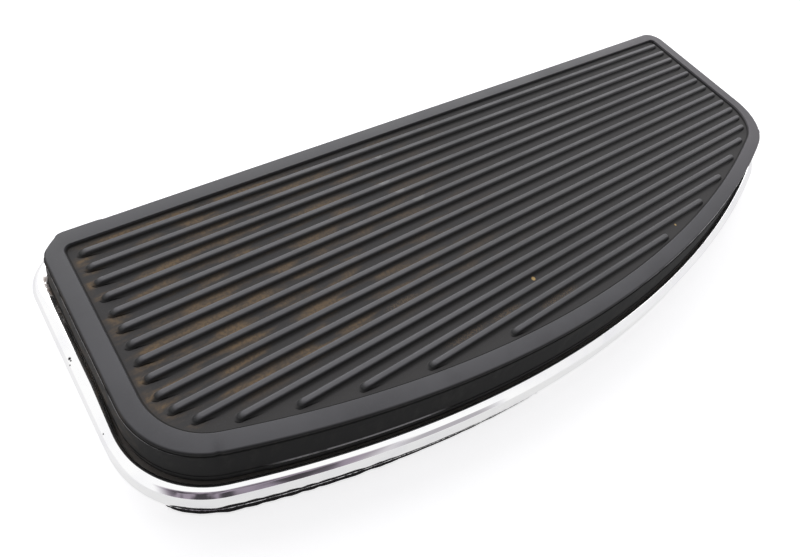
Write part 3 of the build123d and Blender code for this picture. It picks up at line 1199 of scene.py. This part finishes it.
@dataclass
class TreadPad:
    """The moulded rubber pad: border, ribs, lip, flank and foot, hollow below. Sizes in mm."""

    outline: TreadOutline
    shift: float = 0.4
    rib_shift: float = 0.85
    border: float = 5.5
    back_border: float = 4.7
    border_taper: float = 0.25
    top: float = 26.0
    floor: float = 24.8
    lip_bottom: float = 24.5
    lip_ledge: float = 0.4
    foot_top: float = 14.2
    foot_ledge: float = 0.4
    foot_spread: float = 2.9
    left_foot_tuck: float = 0.75
    foot_bottom: float = 10.0
    hollow: float = -0.8
    slab_bottom: float = 19.4
    slab_run: float = 1.2
    floor_run: float = 0.4
    root_radius: float = 0.35
    border_radius: float = 0.2
    top_radius: float = 0.9
    crease_radius: float = 0.1
    ledge_radius: float = 0.12
    foot_radius: float = 0.15
    edge_radius: float = 0.3
    slab_radius: float = 0.8
    rounding_steps: int = 6
    worn_down_to: float = 23.0
    trim_facing_deg: float = 133.4
    trim_reach: float = 138.15
    back_margin: float = 1.0
    back_swell: float = 0.4
    swell_from: float = 60.0
    swell_run: float = 140.0
    back_step: float = 0.3
    back_step_x: float = -131.5
    knocks: tuple[Knock, ...] = (
        Knock((-134.6, -28.9), 0.9, (0.15, 0.25, -0.2)),
        Knock((142.9, -24.8), 1.4, (0.5, -0.2, 0.0)),
    )
    name: str = "ribbed_tread_pad"

    def section(self) -> list[Corner]:
        """Section of the pad's wall, from the groove floor over the border and down to the hollow.

        Returns:
            The points of the section in order.
        """
        extra = self.border - self.back_border
        corners = [
            Corner(-self.border - self.border_taper - self.floor_run, self.floor, 0.0, extra),
            Corner(-self.border - self.border_taper, self.floor, self.root_radius, extra),
            Corner(-self.border, self.top, self.border_radius, extra),
            Corner(0.0, self.top, self.top_radius),
            Corner(0.0, self.lip_bottom, self.crease_radius),
            Corner(self.lip_ledge, self.lip_bottom, self.ledge_radius),
            Corner(self.foot_spread - self.foot_ledge, self.foot_top, self.crease_radius),
            Corner(self.foot_spread, self.foot_top, self.foot_radius),
            Corner(self.foot_spread, self.foot_bottom, self.edge_radius),
            Corner(self.hollow, self.foot_bottom, self.edge_radius),
            Corner(self.hollow, self.slab_bottom, self.slab_radius),
            Corner(self.hollow - self.slab_run, self.slab_bottom),
        ]
        return rounded_section(corners, self.rounding_steps)

    def _wear(self, draft: MeshDraft) -> None:
        """Give the lip its worn back corner, uneven back edge, nick and burr.

        Args:
            draft: the pad's mesh, before its ribs are added.
        """
        angle = math.radians(self.trim_facing_deg)
        facing = Vector((math.cos(angle), math.sin(angle), 0.0))
        for vert in draft.bm.verts:
            spot = vert.co / MM
            if spot.z < self.worn_down_to or vert[draft.growth] < -self.border * MM / 2:
                continue
            if spot.y > self.outline.depth / 2 - self.back_margin:
                spot.y += self.back_swell * clamp((self.swell_from - spot.x) / self.swell_run)
                spot.y += self.back_step if spot.x < self.back_step_x else 0.0
            spot -= facing * max(spot.dot(facing) - self.trim_reach, 0.0)
            for knock in self.knocks:
                away = (spot.to_2d() - Vector(knock.place)).length / knock.reach
                spot += Vector(knock.push) * max(1.0 - away * away, 0.0)
            vert.co = spot * MM

    def build(self, rubber: bpy.types.Material) -> bpy.types.Object:
        """Build the pad as one closed mesh.

        Args:
            rubber: material of the pad.

        Returns:
            The dressed object.
        """
        draft = MeshDraft(self.name)
        _, under = draft.sweep(self.outline, self.section())
        draft.bm.faces.new(under)
        bmesh.ops.translate(draft.bm, verts=draft.bm.verts[:], vec=Vector((self.shift * MM, 0.0, 0.0)))
        for vert in draft.bm.verts:
            if vert.co.x < -self.outline.corner_x * MM and vert[draft.growth] > self.lip_ledge * MM:
                vert.co.x += self.left_foot_tuck * vert[draft.growth] / self.foot_spread
        self._wear(draft)
        ribs = RibPattern(self.outline, self.border, self.rib_shift).mesh(rubber)
        draft.bm.from_mesh(ribs)
        bmesh.ops.remove_doubles(draft.bm, verts=draft.bm.verts[:], dist=WELD_M)
        draft.fill_level(self.floor)
        pad = draft.finish(Shading.MOULDED)
        pad.data.materials.clear()
        pad.data.materials.append(rubber)
        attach(pad, BODY)
        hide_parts("tread_pad")
        return pad


@dataclass
class PlatedPan:
    """The pressed pan: floor with holes, rolled bead, sloping shoulder and flared skirt. Sizes in mm."""

    outline: TreadOutline
    floor_top: float = 10.0
    floor_bottom: float = 8.5
    bead_inner: float = 3.8
    bead_crest: float = 12.9
    bead_outer: float = 7.5
    shoulder_run: float = 1.6
    shoulder_drop: float = 1.9
    shoulder_rounding: float = 2.1
    left_spread: float = 1.25
    spread_lead: float = 0.4
    skirt: float = 8.2
    sheet: float = 1.5
    floor_run: float = 0.9
    root_radius: float = 0.5
    bead_radius: float = 1.35
    crease_radius: float = 0.3
    edge_radius: float = 0.35
    under_radius: float = 0.6
    rounding_steps: int = 8
    neck_hole: float = 7.1
    bolt_hole: float = 4.25
    rivet_hole: float = 2.5
    hole_points: int = 40
    hem_height: float = 0.8
    hem_seam: float = 0.06
    hem_swell: float = 1.0
    hem_jag: float = 3.3
    hem_mean: float = 0.9
    hem_rough: float = 0.4
    hem_least: float = 0.7
    hem_left: float = -150.0
    hem_full: float = -120.0
    hem_fades_from: float = -125.0
    hem_right: float = -30.0
    name: str = "plated_pan"

    def section(self) -> list[Corner]:
        """Section of the rim, from the floor's top over the bead and down the skirt to its underside.

        Returns:
            The points of the section in order.
        """
        crease = self.bead_crest - self.shoulder_drop
        slope = (self.skirt - self.bead_outer) / crease
        seam = self.hem_height + self.hem_seam
        corners = [
            Corner(self.bead_inner - self.floor_run, self.floor_top),
            Corner(self.bead_inner, self.floor_top, self.root_radius),
            Corner(self.bead_inner, self.bead_crest, self.bead_radius),
            Corner(self.bead_outer - self.shoulder_run, self.bead_crest, self.shoulder_rounding),
            Corner(self.bead_outer, crease, self.crease_radius),
            Corner(self.skirt - slope * seam, seam),
            Corner(self.skirt - slope * self.hem_height, self.hem_height),
            Corner(self.skirt, 0.0, self.edge_radius),
            Corner(self.skirt - self.sheet, 0.0, self.edge_radius),
            Corner(self.bead_outer - self.sheet, self.floor_bottom, self.under_radius),
            Corner(self.bead_outer - self.sheet - self.floor_run, self.floor_bottom),
        ]
        return rounded_section(corners, self.rounding_steps)

    def holes(self) -> list[tuple[float, float, float]]:
        """Holes in the floor, read from the pieces that fill them.

        Returns:
            Centre and radius of each hole, in mm.
        """
        found = []
        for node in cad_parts:
            for kind, radius in (
                ("isolator_", self.neck_hole),
                ("weld_nut_", self.bolt_hole),
                ("rivet_", self.rivet_hole),
            ):
                if node.startswith(kind):
                    low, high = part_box(node)
                    middle = (low + high) / 2 / MM
                    found.append((middle.x, middle.y, radius))
        return found

    def _spread(self, draft: MeshDraft) -> None:
        """Bring the bead's inner side up to the pad along the left end.

        Args:
            draft: the pan's mesh.
        """
        crest = (self.bead_inner + self.bead_outer) / 2 - self.bead_inner
        for vert in draft.bm.verts:
            spot = vert.co / MM
            inward = 1.0 - (vert[draft.growth] / MM - self.bead_inner) / crest
            if spot.x > -self.outline.corner_x or spot.z < self.floor_top or inward <= 0.0:
                continue
            behind = (spot.y - self.outline.corner_y) / self.outline.front_corner
            vert.co.x += self.left_spread * min(inward, 1.0) * clamp(behind + self.spread_lead) * MM

    def _hem(self, draft: MeshDraft) -> None:
        """Let the ragged black hem stand out below the skirt at the front left corner.

        Args:
            draft: the pan's mesh.
        """
        for vert in draft.bm.verts:
            spot = vert.co / MM
            on_skirt = vert[draft.growth] > (self.skirt - self.sheet / 2) * MM
            if not (on_skirt and spot.z < self.hem_height / 2 and spot.y < self.outline.corner_y):
                continue
            if not self.hem_left < spot.x < self.hem_right:
                continue
            thinning = min(1.0, (self.hem_right - spot.x) / (self.hem_right - self.hem_fades_from))
            started = (spot.x - self.hem_left) / (self.hem_full - self.hem_left)
            start = min(1.0, self.hem_least + (1.0 - self.hem_least) * started)
            ragged = self.hem_mean + self.hem_rough * noise.noise(spot / self.hem_jag)
            out = self.outline.outward(spot.x, spot.y) * self.hem_swell * thinning * start * ragged
            vert.co += Vector((out.x, out.y, 0.0)) * MM
            vert[draft.hem] = out.length / self.hem_swell

    def build(self, chrome: bpy.types.Material) -> bpy.types.Object:
        """Build the pan as one closed mesh.

        Args:
            chrome: material of the pan.

        Returns:
            The dressed object.
        """
        draft = MeshDraft(self.name)
        draft.sweep(self.outline, self.section())
        self._spread(draft)
        self._hem(draft)
        for x, y, radius in self.holes():
            upper = draft.circle(x, y, self.floor_top, radius, self.hole_points)
            lower = draft.circle(x, y, self.floor_bottom, radius, self.hole_points)
            draft.bridge(upper, lower)
        draft.fill_level(self.floor_top)
        draft.fill_level(self.floor_bottom)
        pan = draft.finish(Shading.PRESSED)
        pan.data.materials.append(chrome)
        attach(pan, BODY)
        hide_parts("chrome_pan")
        return pan


@dataclass
class Hardware:
    """The plate, isolators and fasteners below the tread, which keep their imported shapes."""

    finishes: dict[str, Union[WorkedSteel, IsolatorRubber]] = field(default_factory=lambda: {
        "backing_plate": WorkedSteel("rolled_steel", (0.44, 0.44, 0.44), (0.30, 0.29, 0.28), (0.35, 0.5)),
        "isolator_": IsolatorRubber(),
        "spacer_sleeve_": WorkedSteel("zinc_sleeve", (0.62, 0.62, 0.59), (0.5, 0.5, 0.49), (0.28, 0.42)),
        "plate_stud_": WorkedSteel("zinc_stud", (0.64, 0.63, 0.58), (0.5, 0.48, 0.44), (0.26, 0.42)),
        "washer_": WorkedSteel("zinc_washer", (0.60, 0.60, 0.58), (0.46, 0.45, 0.43), (0.28, 0.45)),
        "lock_nut_": WorkedSteel("zinc_nut", (0.58, 0.57, 0.54), (0.44, 0.43, 0.40), (0.28, 0.45)),
        "mounting_plate_": WorkedSteel(
            "black_paint", (0.030, 0.030, 0.032), (0.05, 0.048, 0.045), (0.4, 0.6), metallic=0.0
        ),
        "weld_nut_": WorkedSteel("plain_nut", (0.42, 0.41, 0.40), (0.30, 0.29, 0.28), (0.35, 0.5)),
        "rivet_": WorkedSteel("plain_rivet", (0.46, 0.45, 0.43), (0.34, 0.32, 0.30), (0.33, 0.5)),
    })

    def dress(self) -> list[bpy.types.Object]:
        """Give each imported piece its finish.

        Returns:
            The dressed objects.
        """
        dressed = []
        for prefix, finish in self.finishes.items():
            material = finish.make()
            for node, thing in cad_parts.items():
                if node.startswith(prefix):
                    thing.data.materials.clear()
                    thing.data.materials.append(material)
                    dressed.append(thing)
        return dressed


@dataclass
class Studio:
    """Pale floor, soft light from behind and above, and the camera; in metres, or mm where a name says so."""

    floor_corner: Span = (-0.27, -0.21)
    floor_far_corner: Span = (4.0, 4.0)
    floor_colour: Colour = (0.60, 0.595, 0.61)
    floor_roughness: float = 0.9
    floor_glow: float = 0.695
    floor_mirrored: float = 0.70
    floor_evenness: float = 0.67
    lamp_place: Triple = (0.30, 0.75, 0.62)
    lamp_size: Span = (1.7, 0.8)
    lamp_watts: float = 8.5
    sky_strength: float = 1.5
    sky_tint: Colour = (0.98, 0.98, 1.0)
    white: Colour = (1.0, 1.0, 1.0)
    black: Colour = (0.0, 0.0, 0.0)
    dark_side: Triple = (-0.35, -0.90, 0.25)
    dim_edge: Span = (-0.55, 0.35)
    dimming: float = 0.9
    patch_centre: Triple = (-0.512, -0.819, 0.22)
    patch_edge: Span = (0.76, 0.88)
    patch_core: Span = (0.82, 0.93)
    patch_streak: Pattern = Pattern(140.0, 2.0, (0.62, 0.42), (1.0, 1.0, 0.25))
    patch_dark: Colour = (0.060, 0.054, 0.062)
    patch_tint: Colour = (0.32, 0.275, 0.33)
    strip_centre: Triple = (0.2, -0.98, 0.0)
    strip_edge: Span = (0.982, 0.997)
    strip_tint: Colour = (0.45, 0.43, 0.46)
    right_dim: Colour = (0.86, 0.855, 0.87)
    right_dim_edge: Span = (0.25, 0.75)
    camera_place_mm: Triple = (-145.3, -72.05, 175.0)
    camera_aim_mm: Triple = (-62.3, -8.6, 26.0)
    camera_roll_deg: float = 20.2
    image_width_px: float = 800.0
    focal_px: float = 565.3
    sensor_mm: float = 36.0
    clip_start: float = 0.005

    def floor(self) -> bpy.types.Object:
        """Lay the pale floor under the rim.

        Returns:
            The floor.
        """
        (left, front), (right, back) = self.floor_corner, self.floor_far_corner
        spots = ((left, front, 0.0), (right, front, 0.0), (right, back, 0.0), (left, back, 0.0))
        mesh = bpy.data.meshes.new("pale_floor")
        mesh.from_pydata(spots, [], [tuple(range(len(spots)))])
        floor = put("pale_floor", mesh)
        paint = Paint("pale_floor")
        paint.coat(Base_Color=self.floor_colour, Roughness=self.floor_roughness, Specular_IOR_Level=0.0)
        paint.lighten(self.floor_glow, self.floor_mirrored, self.floor_evenness)
        mesh.materials.append(paint.material)
        return floor

    def lamp(self) -> bpy.types.Object:
        """Hang the soft lamp behind and above the board.

        Returns:
            The lamp.
        """
        data = bpy.data.lights.new("soft_lamp", "AREA")
        data.shape = "RECTANGLE"
        data.size, data.size_y = self.lamp_size
        data.energy = self.lamp_watts
        lamp = put("soft_lamp", data)
        lamp.location = self.lamp_place
        lamp.rotation_euler = (-Vector(self.lamp_place)).to_track_quat("-Z", "Y").to_euler()
        return lamp

    def sky(self) -> bpy.types.World:
        """Fill the surroundings with soft light, dim on the camera's side, where metal mirrors a dark patch.

        Returns:
            The world.
        """
        world = bpy.data.worlds.new("studio_sky")
        world.use_nodes = True
        bench = ShaderBench(world.node_tree, "Generated")
        facing_patch = bench.facing(self.patch_centre)
        shade = bench.both(bench.fade(facing_patch, *self.patch_core), bench.blotch(self.patch_streak))
        patch = bench.mix(shade, self.patch_tint, self.patch_dark)
        around = bench.mix(bench.fade(bench.axis("X"), *self.right_dim_edge), self.white, self.right_dim)
        strip = bench.fade(bench.facing(self.strip_centre), *self.strip_edge)
        around = bench.mix(strip, around, self.strip_tint)
        mirrored = bench.mix(bench.fade(facing_patch, *self.patch_edge), around, patch)
        view = bench.mix(bench.add("ShaderNodeLightPath")["Is Glossy Ray"], self.white, mirrored)
        dim = bench.both(bench.fade(bench.facing(self.dark_side), *self.dim_edge), self.dimming)
        light = bench.mix(dim, Vector(self.sky_tint) * self.sky_strength, self.black)
        shown = world.node_tree.nodes["Background"]
        bench.feed(shown.inputs["Color"], bench.mix(bench.seen(), light, view))
        bpy.context.scene.world = world
        return world

    def camera(self) -> bpy.types.Object:
        """Set up the camera at the photograph's place and angle.

        Returns:
            The camera.
        """
        data = bpy.data.cameras.new("view_camera")
        data.sensor_fit = "HORIZONTAL"
        data.sensor_width = self.sensor_mm
        data.lens = self.focal_px * self.sensor_mm / self.image_width_px
        data.clip_start = self.clip_start
        camera = put("view_camera", data)
        place = Vector(self.camera_place_mm) * MM
        look = (Vector(self.camera_aim_mm) * MM - place).to_track_quat("-Z", "Y").to_matrix()
        turn = look @ Matrix.Rotation(math.radians(self.camera_roll_deg), 3, "Z")
        camera.matrix_world = Matrix.Translation(place) @ turn.to_4x4()
        bpy.context.scene.camera = camera
        return camera

    def build(self) -> None:
        """Set up floor, light, surroundings, camera and view settings."""
        self.floor()
        self.lamp()
        self.sky()
        self.camera()
        bpy.context.scene.view_settings.view_transform = "Standard"


def main() -> None:
    """Build and dress the board, then set up the studio."""
    logging.basicConfig(level=logging.INFO, format="%(name)s: %(message)s")
    pieces: list[bpy.types.Object] = [
        TreadPad(TreadOutline(length=DRESSED_LENGTH_MM)).build(TreadRubber().make()),
        PlatedPan(TreadOutline()).build(ChromePlate().make()),
    ]
    pieces += Hardware().dress()
    Studio().build()
    for piece in pieces:
        LOG.info("%s: %d faces", piece.name, len(piece.data.polygons))


if __name__ == "__main__":
    main()
